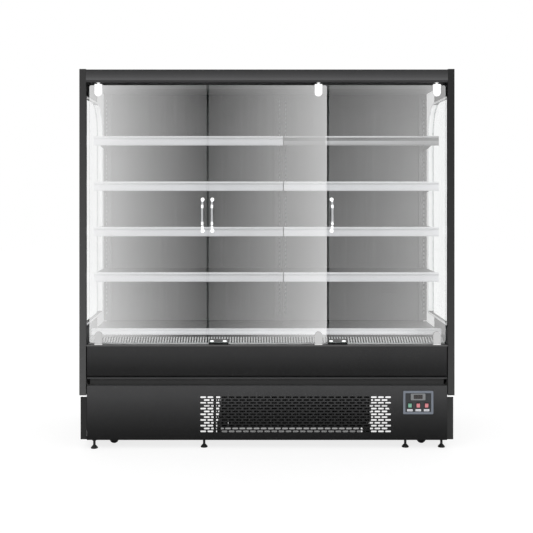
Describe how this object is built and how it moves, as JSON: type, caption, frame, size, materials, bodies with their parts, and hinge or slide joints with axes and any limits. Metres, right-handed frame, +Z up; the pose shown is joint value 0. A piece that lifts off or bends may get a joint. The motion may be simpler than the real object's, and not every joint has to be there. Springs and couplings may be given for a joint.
{
  "type": "refrigerated display case",
  "caption": "Upright refrigerated multideck display case for chilled deli goods, with glass swing doors, glazed sides, slotted shelving and a plug-in cooling unit in its base.",
  "frame": {"origin": "on the floor, under the middle of the case and its handles", "axes": "+X to the right as a customer sees it, +Y from the doors to the back, +Z up"},
  "size_m": [1.98, 0.732, 2.004],
  "materials": {
    "black_paint": "satin powder coat",
    "side_panel": "foamed panel, black outer skin and grey inner skin",
    "body_foam": "foamed panel with painted skins",
    "clear_glass": "clear tempered glass",
    "bright_trim": "satin anodised",
    "liner_grey": "satin grey paint",
    "stainless": "brushed, grain upright",
    "shelf_paint": "satin grey powder coat",
    "rail_plastic": "extruded light grey plastic",
    "grille_paint": "white powder coat",
    "bezel_grey": "fine grained moulding",
    "dark_plastic": "fine grained moulding",
    "display_grey": "moulded",
    "rocker_green": "translucent, lit from behind",
    "rocker_red": "translucent, lit from behind",
    "clip_white": "white powder coat",
    "handle_chrome": "polished",
    "white_nylon": "moulded",
    "foot_black": "moulded over a steel stud",
    "castor_steel": "black zinc",
    "castor_tread": "smooth tread",
    "compressor_black": "gloss black enamel",
    "fin_aluminium": "thin plain fins",
    "fan_plastic": "moulded",
    "galvanised": "galvanised sheet",
    "copper": "drawn copper tube",
    "cable_rubber": "round flexible cord",
    "screw_steel": "zinc plated"
  },
  "bodies": {
    "case": {"base_frame": "black_paint", "side_frame_left": "side_panel", "side_frame_right": "side_panel", "side_glass_panes": "clear_glass", "side_trims": "bright_trim", "base_covers": "black_paint", "tub": "body_foam", "rear_wall": "body_foam", "top_panel": "body_foam", "canopy_fascia": "black_paint", "header_rail": "black_paint", "ceiling_panels": "liner_grey", "back_panels": "stainless", "uprights": "stainless", "shelves_left": "shelf_paint", "shelves_right": "shelf_paint", "price_rails": "rail_plastic", "shelf_brackets": "shelf_paint", "deck_pans": "stainless", "deck_price_rail": "rail_plastic", "return_air_grille": "grille_paint", "bumper_panel": "black_paint", "door_rail": "bright_trim", "kick_panel": "black_paint", "control_bezel": "bezel_grey", "control_faceplate": "dark_plastic", "temperature_controller": "display_grey", "switch_bodies": "dark_plastic", "pivot_bushings": "white_nylon", "door_catches": "dark_plastic", "levelling_feet": "foot_black", "compressor": "compressor_black", "condenser_coil": "fin_aluminium", "condenser_shroud": "black_paint", "evaporator_coil": "fin_aluminium", "evaporator_fan_plate": "galvanised", "refrigerant_pipes": "copper", "power_cable": "cable_rubber", "screws": "screw_steel"},
    "door_left": {"door_glass_left": "clear_glass", "door_clips_left": "clip_white", "door_handle_left": "handle_chrome"},
    "door_middle": {"door_glass_middle": "clear_glass", "door_clips_middle": "clip_white", "door_handle_middle": "handle_chrome"},
    "door_right": {"door_glass_right": "clear_glass", "door_clips_right": "clip_white", "door_handle_right": "handle_chrome"},
    "rocker_green": {"rocker_green": "rocker_green"},
    "rocker_red_left": {"rocker_red_left": "rocker_red"},
    "rocker_red_right": {"rocker_red_right": "rocker_red"},
    "castor_fork_left": {"castor_fork_left": "castor_steel"},
    "castor_fork_right": {"castor_fork_right": "castor_steel"},
    "castor_wheel_front_left": {"castor_wheel_front_left": "castor_tread"},
    "castor_wheel_front_right": {"castor_wheel_front_right": "castor_tread"},
    "castor_wheel_rear_left": {"castor_wheel_rear_left": "castor_tread"},
    "castor_wheel_rear_right": {"castor_wheel_rear_right": "castor_tread"},
    "condenser_fan": {"condenser_fan": "fan_plastic"},
    "evaporator_fan_left": {"evaporator_fan_left": "fan_plastic"},
    "evaporator_fan_right": {"evaporator_fan_right": "fan_plastic"}
  },
  "joints": [
    {"name": "door_left_hinge", "type": "hinge", "parent": "case", "child": "door_left", "pos_m": [-0.891, -0.318, 1.238], "axis": [0, 0, -1], "range_deg": [0, 90]},
    {"name": "door_middle_hinge", "type": "hinge", "parent": "case", "child": "door_middle", "pos_m": [0.273, -0.318, 1.238], "axis": [0, 0, 1], "range_deg": [0, 90]},
    {"name": "door_right_hinge", "type": "hinge", "parent": "case", "child": "door_right", "pos_m": [0.899, -0.318, 1.238], "axis": [0, 0, 1], "range_deg": [0, 90]},
    {"name": "rocker_green_tilt", "type": "hinge", "parent": "case", "child": "rocker_green", "pos_m": [0.754, -0.3325, 0.2286], "axis": [-1, 0, 0], "range_deg": [0, 18]},
    {"name": "rocker_red_left_tilt", "type": "hinge", "parent": "case", "child": "rocker_red_left", "pos_m": [0.798, -0.3325, 0.2286], "axis": [-1, 0, 0], "range_deg": [0, 18]},
    {"name": "rocker_red_right_tilt", "type": "hinge", "parent": "case", "child": "rocker_red_right", "pos_m": [0.842, -0.3325, 0.2286], "axis": [-1, 0, 0], "range_deg": [0, 18]},
    {"name": "castor_left_swivel", "type": "hinge", "parent": "case", "child": "castor_fork_left", "pos_m": [-0.84, -0.239, 0.06], "axis": [0, 0, 1], "continuous": true},
    {"name": "castor_right_swivel", "type": "hinge", "parent": "case", "child": "castor_fork_right", "pos_m": [0.81468, -0.229, 0.06], "axis": [0, 0, 1], "continuous": true},
    {"name": "castor_front_left_roll", "type": "hinge", "parent": "castor_fork_left", "child": "castor_wheel_front_left", "pos_m": [-0.82, -0.239, 0.029], "axis": [0, 1, 0], "continuous": true},
    {"name": "castor_front_right_roll", "type": "hinge", "parent": "castor_fork_right", "child": "castor_wheel_front_right", "pos_m": [0.832, -0.239, 0.029], "axis": [0.5, 0.866, 0], "continuous": true},
    {"name": "castor_rear_left_roll", "type": "hinge", "parent": "case", "child": "castor_wheel_rear_left", "pos_m": [-0.82, 0.262, 0.029], "axis": [1, 0, 0], "continuous": true},
    {"name": "castor_rear_right_roll", "type": "hinge", "parent": "case", "child": "castor_wheel_rear_right", "pos_m": [0.82, 0.262, 0.029], "axis": [1, 0, 0], "continuous": true},
    {"name": "condenser_fan_spin", "type": "hinge", "parent": "case", "child": "condenser_fan", "pos_m": [0.153, -0.166, 0.2025], "axis": [0, 1, 0], "continuous": true},
    {"name": "evaporator_fan_left_spin", "type": "hinge", "parent": "case", "child": "evaporator_fan_left", "pos_m": [-0.43, -0.155, 0.502], "axis": [0, 1, 0], "continuous": true},
    {"name": "evaporator_fan_right_spin", "type": "hinge", "parent": "case", "child": "evaporator_fan_right", "pos_m": [0.43, -0.155, 0.502], "axis": [0, 1, 0], "continuous": true}
  ]
}
